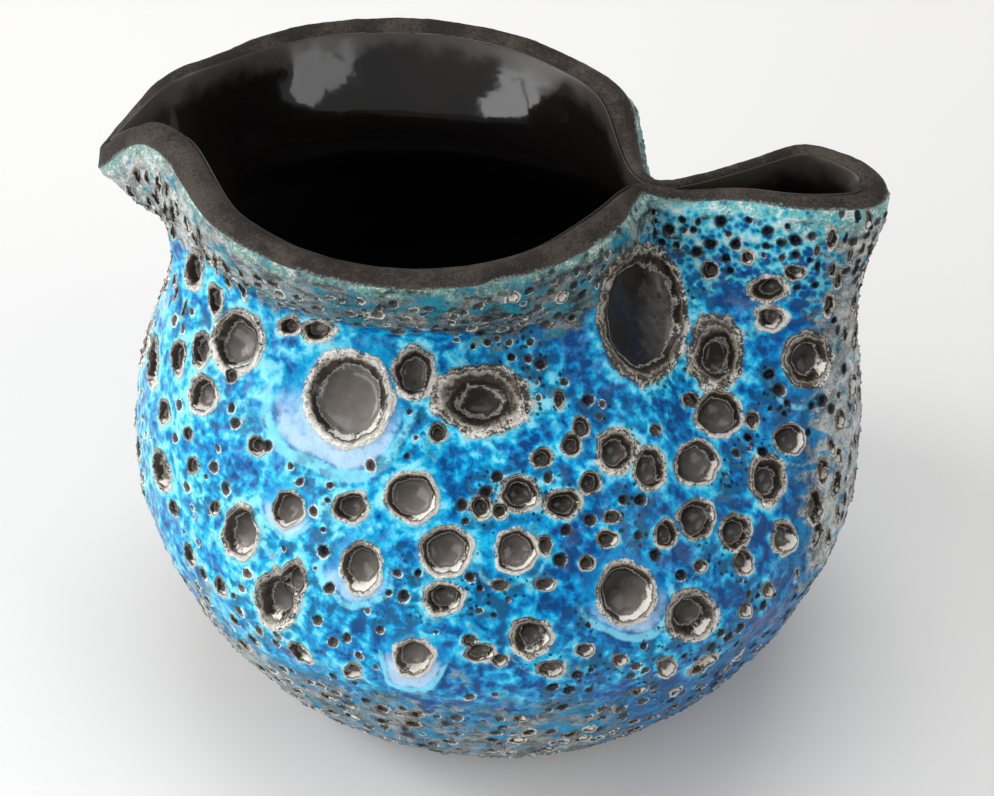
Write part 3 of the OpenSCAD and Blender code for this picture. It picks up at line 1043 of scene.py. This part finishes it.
# Painted shade: the dark holes are painted only on the jug's right half, away from the light.
holes_on_shaded_half = (1 - paint.step(holes, 0.18, 0.3)) * paint.step(across, -0.025, 0.005)
skin = paint.mix(holes_on_shaded_half * 0.85, skin, NAVY)
print("foam ready")

# %% [markdown]
# A crater's lip is a crust in thin ragged lines, painted palest on its lower side as a painted highlight.
# Inside are a dark wall with a painted highlight on its lower side, a narrow ledge, and a glossy floor
# painted lighter towards the crater's lower side and the jug's left.

# %% Lips and bowls
lines = paint.node("ShaderNodeMath", {"operation": "SINE"}, {0: bowl_edge * 17 + patch * 9})
lip_tone = grain * 0.4 + fine * 0.3 + patch * 0.3 + (tone_value - 0.4) * 0.12
lip_crust = paint.mix(paint.step(lip_tone + lines * 0.06, 0.4, 0.56), LIP_BROWN, LIP_GREY)
# Painted highlight: the pale crust is painted more on each lip's lit lower side.
lip_crust = paint.mix(paint.step(lip_tone + painted_light_value * 0.1, 0.475, 0.555), lip_crust, PALE_CRUST_AND_HIGHLIGHT)
# Painted light and shade: the floor's own tone is made lighter towards the crater's lower side and the jug's
# left, and darker away from them.
floor_tone_and_painted_light = tone_value * 0.6 + painted_light_value * 0.8 + (fine - 0.5) * 0.5 - across * 2
floor_colour = paint.mix(floor_tone_and_painted_light, FLOOR_DARK, FLOOR_LIGHT)
# Painted highlight: the dark bowl wall is painted pale on its lower, lit side.
wall_painted_light = painted_light_value + (tone_value - 0.4) * 0.3
wall_painted_highlight = paint.step(wall_painted_light + (patch - 0.5) * 1.2 + (grain - 0.5) * 0.5, 0.35, 0.6)
wall_colour = paint.mix(wall_painted_highlight, BOWL_WALL, PALE_CRUST_AND_HIGHLIGHT)
crater_colour = paint.stops(
    bowl_edge * 0.33, (0.0, LIP_GREY), (0.2, LIP_GREY), (0.28, LIP_BROWN), (0.34, BOWL_WALL),
    (0.42, BOWL_WALL), (0.46, BOWL_LEDGE), (0.5, BOWL_WALL))
crater_colour = paint.mix(paint.step(bowl_edge, 0.8, 1.0) * wall_painted_highlight, crater_colour, wall_colour)
crater_colour = paint.mix(paint.step(bowl_edge, 1.42, 1.6), crater_colour, floor_colour)
crust_part = 1 - paint.step(bowl_edge, 0.35, 0.85)
crater_colour = paint.mix(crust_part, crater_colour, lip_crust)
in_crater = paint.step(bowl_edge, -0.14, 0.02)
in_bowl = paint.step(bowl_edge, 0.7, 1.0)
skin = paint.mix(in_crater, skin, crater_colour)
print("lips and bowls ready")

# %% [markdown]
# Pits are the smallest bubbles: a crumb of pale crust and a dark hole, with the crumb painted paler and the
# hole browner towards the jug's left and each pit's lower side, as painted light. Last come gloss and
# relief:
# smooth glass, rough crust and foam.

# %% Pits, gloss and relief
# Painted light: pit crumbs paler, and pit floors brown instead of navy, towards the jug's left and each
# pit's lower side.
pit_tone_and_painted_light = lip_tone + painted_light_value * 0.08 - across * 1.6
pit_crust = paint.mix(paint.step(pit_tone_and_painted_light, 0.48, 0.6), FOAM_DARK, PALE_CRUST_AND_HIGHLIGHT)
skin = paint.mix(paint.step(pit_edge, -0.3, 0.1) * 0.8, skin, pit_crust)
in_pit = paint.step(pit_edge, 0.25, 0.8)
pit_floor = paint.mix(tone_value * 0.7 + painted_light_value * 0.3 - across * 7, NAVY, PIT_BROWN)
skin = paint.mix(in_pit * 0.94, skin, pit_floor)

crumbs = in_crater * (1 - in_bowl)
open_skin = 1 - in_bowl
rough = 0.14 + crumbs * 0.35 + foam_mask * open_skin * 0.2 + fine * 0.12 + in_bowl * 0.06
texture = grain * (crumbs * 0.8 + foam_mask * 0.5 + 0.14) + fine * 0.75 + layered * foam_mask * 0.7
relief = texture * open_skin + lines * crumbs * 0.15 - holes_on_shaded_half * 0.7
glaze_look = paint.surface(
    base_color=skin, roughness=rough, specular_ior_level=0.16, coat_weight=in_bowl * tone_value * 0.3 + 0.13,
    coat_roughness=0.1, normal=paint.bump(relief, 0.45))
for piece in glaze_pieces:
    dress(piece, glaze_look)
print("crater glaze on", len(glaze_pieces), "pieces")

# %% [markdown]
# The rim was wiped before firing. It is dry and dark brown, with a fine tooth, a few lighter rubs, and
# crumbs of the glaze along its outer edge.

# %% Rim finish
RIM_DARK = (0.022, 0.018, 0.015)
RIM_RUBBED = (0.066, 0.055, 0.046)
RIM_CRUMB = (0.24, 0.32, 0.29)
paint = Finish("rim_slip")
patches = paint.noise(8, 4, 0.6)
tooth = paint.noise(0.45, 3, 0.6)
brown = paint.mix(paint.step(patches * 0.6 + tooth * 0.4, 0.42, 0.62), RIM_DARK, RIM_RUBBED)
crumb_edge = paint.value("from_glaze") + (patches - 0.5) * 2.5 + (tooth - 0.5) * 2
crumb_part = 1 - paint.step(crumb_edge, -0.2, 0.4)
brown = paint.mix(crumb_part * 0.6, brown, RIM_CRUMB)
rim_look = paint.surface(
    base_color=brown, roughness=0.5 + tooth * 0.3, specular_ior_level=0.12, normal=paint.bump(tooth, 0.2))
dress(rim, rim_look)
print("rim dressed")

# %% [markdown]
# The liner is a glossy black glaze. Its surface waves a little, so reflections break up, and at the rim it
# thins out to the brown of the slip.

# %% Liner finish
LINER_BLACK = (0.0035, 0.0033, 0.0035)
LINER_BROWN = (0.012, 0.009, 0.008)
LINER_THIN = (0.032, 0.027, 0.023)
paint = Finish("liner")
swell = paint.noise(14, 2, 0.5)
ripple = paint.noise(4, 2)
rim_gap = paint.value("from_rim")
thin = 1 - paint.step(rim_gap + (ripple - 0.5) * 6, 0.2, 4.6)
dull = paint.step(rim_gap, 16, 30) * 0.4
specks = paint.step(paint.cells(4.5), 0.0, 0.05)
black = paint.mix(swell, LINER_BLACK, LINER_BROWN)
black = paint.mix(thin, black, LINER_THIN)
liner_look = paint.surface(
    base_color=black, roughness=0.09 + (1 - specks) * 0.2 + thin * 0.35 + dull, ior=1.55,
    normal=paint.bump(swell + ripple * 0.12, 0.6))
dress(liner, liner_look)
print("liner dressed")

# %% [markdown]
# The foot ring is bare clay: warm brown, matt and grainy.

# %% Bare clay
CLAY = (0.3, 0.17, 0.1)
CLAY_PALE = (0.46, 0.3, 0.19)
CLAY_SPECK = (0.07, 0.045, 0.03)
paint = Finish("bare_clay")
cloud = paint.noise(8, 4, 0.6)
sand = paint.noise(0.4, 3, 0.6)
brown = paint.mix(cloud, CLAY, CLAY_PALE)
grog = 1 - paint.step(paint.cells(1.6), 0.12, 0.2)
brown = paint.mix(grog * 0.7, brown, CLAY_SPECK)
clay_look = paint.surface(base_color=brown, roughness=0.85, normal=paint.bump(sand, 0.1))
dress(frame["nodes"]["clay_body"], clay_look)
print("clay dressed")

# %% [markdown]
# Each new piece rides on the one body of the jug and stands for its CAD coat.

# %% Tie the pieces to the part
tied = [(piece, "lava_glaze", "crater_glaze") for piece in glaze_pieces]
tied += [(rim, "base_slip", "slip"), (liner, "liner_glaze", "liner")]
for piece, node, slot in tied:
    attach(piece, "root")
    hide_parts(node)
print("pieces tied to the part")

# %% [markdown]
# The studio is plain: a pale floor and soft light, strongest from the upper left as in the photograph.

# %% Studio
FLOOR_SIZE = 8
deselect_all()
bpy.ops.mesh.primitive_plane_add(size=FLOOR_SIZE)
floor = bpy.context.object
floor.name = "floor"
paint = Finish("floor")
dress(floor, paint.surface(base_color=(0.8, 0.795, 0.785), roughness=0.9))


def soft_light(name, place, size, power):
    """A square lamp that faces the jug."""
    bpy.ops.object.light_add(type="AREA", location=place)
    lamp = bpy.context.object
    lamp.name = name
    lamp.data.size = size
    lamp.data.energy = power
    lamp.rotation_euler = (Vector(place) - LOOK_AT).to_track_quat("Z", "Y").to_euler()


PANE_PLACES = [(-0.96, 0.0, 0.36), (-0.85, -0.45, 0.36), (-0.53, -0.8, 0.36)]
PANE_SIZE = 0.46
soft_light("window", (-1.9, -0.1, 1.5), 0.85, 17)
soft_light("ceiling", (0, 0.3, 1.4), 1.0, 8)
soft_light("bounce", (1.4, -0.7, 0.9), 1.0, 7)
for number, place in enumerate(PANE_PLACES):
    soft_light(f"pane_{number + 1}", place, PANE_SIZE, 2.5)

WORLD_LIGHT = 0.38
world = bpy.data.worlds.new("studio")
bpy.context.scene.world = world
world.use_nodes = True
world.node_tree.nodes.clear()
sky = world.node_tree
light = make_node(sky, "ShaderNodeBackground", None, {"Color": (1.0, 1.0, 1.0), "Strength": WORLD_LIGHT})
make_node(sky, "ShaderNodeOutputWorld", None, {"Surface": light})

bpy.context.scene.view_settings.view_transform = "Standard"
print("studio ready")
